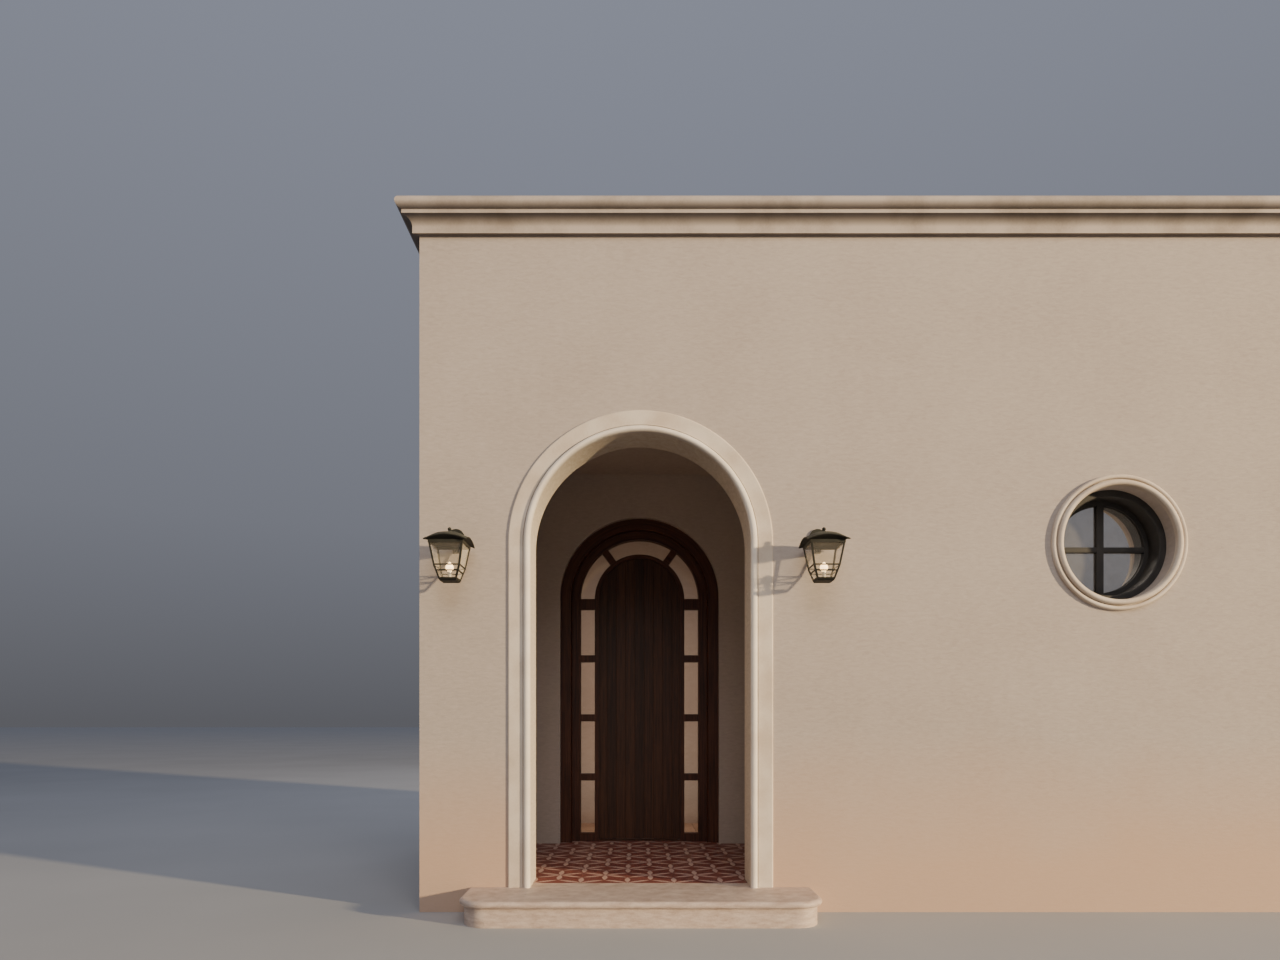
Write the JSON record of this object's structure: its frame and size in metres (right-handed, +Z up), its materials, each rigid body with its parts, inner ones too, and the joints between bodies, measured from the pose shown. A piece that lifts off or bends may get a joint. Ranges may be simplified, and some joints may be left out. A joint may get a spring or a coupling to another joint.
{
  "type": "arched house entrance porch",
  "caption": "Rendered entrance block of a house: moulded archway over a recessed porch with a glazed arched door, a round window, a cornice, a bullnose step and wall lanterns.",
  "frame": {"origin": "centre line of the archway, at the front wall face and ground level", "axes": "+X to the right seen from the front, +Y into the house, +Z up"},
  "size_m": [6.716, 4.4949, 4.95],
  "materials": {
    "stucco": "matte",
    "terrace": "matte",
    "moulding": "matte",
    "step_stone": "matte",
    "porch_tile": "satin",
    "indoor_tile": "satin",
    "dark_oak": "satin",
    "door_pane": "gloss",
    "hinge_iron": "satin",
    "window_metal": "satin",
    "window_pane": "gloss",
    "lantern_iron": "satin",
    "lantern_pane": "gloss",
    "lamp": "satin"
  },
  "bodies": {
    "building": {"front_wall_left": "stucco", "front_wall_middle": "stucco", "front_wall_arch": "stucco", "front_wall_window": "stucco", "left_wall": "stucco", "right_wall": "stucco", "back_wall": "stucco", "porch_side_wall": "stucco", "door_wall_left": "stucco", "door_wall_right": "stucco", "door_wall_head": "stucco", "porch_floor": "porch_tile", "hall_floor": "indoor_tile", "room_floor": "indoor_tile", "terrace_slab": "terrace", "cornice_front": "moulding", "cornice_left": "moulding", "cornice_right": "moulding", "arch_band": "moulding", "arch_roll": "moulding", "step_riser": "step_stone", "step_tread": "step_stone", "door_casing": "dark_oak", "door_frame": "dark_oak", "door_jamb": "dark_oak", "door_bars": "dark_oak", "door_glass": "door_pane", "door_sill": "dark_oak", "door_hinges": "hinge_iron", "window_surround": "moulding", "window_frame": "window_metal", "window_sash": "window_metal", "window_glass": "window_pane", "left_lantern_bracket": "lantern_iron", "left_lantern_cage": "lantern_iron", "left_lantern_glass": "lantern_pane", "left_lantern_bulb": "lamp", "left_lantern_roof": "lantern_iron", "right_lantern_bracket": "lantern_iron", "right_lantern_cage": "lantern_iron", "right_lantern_glass": "lantern_pane", "right_lantern_bulb": "lamp", "right_lantern_roof": "lantern_iron"},
    "leaf": {"door_leaf": "dark_oak", "leaf_hinges": "hinge_iron"}
  },
  "joints": [
    {"name": "door_hinge", "type": "hinge", "parent": "building", "child": "leaf", "pos_m": [-0.407, 2.346, 1.369], "axis": [0, 0, 1], "range_deg": [0, 100]}
  ]
}
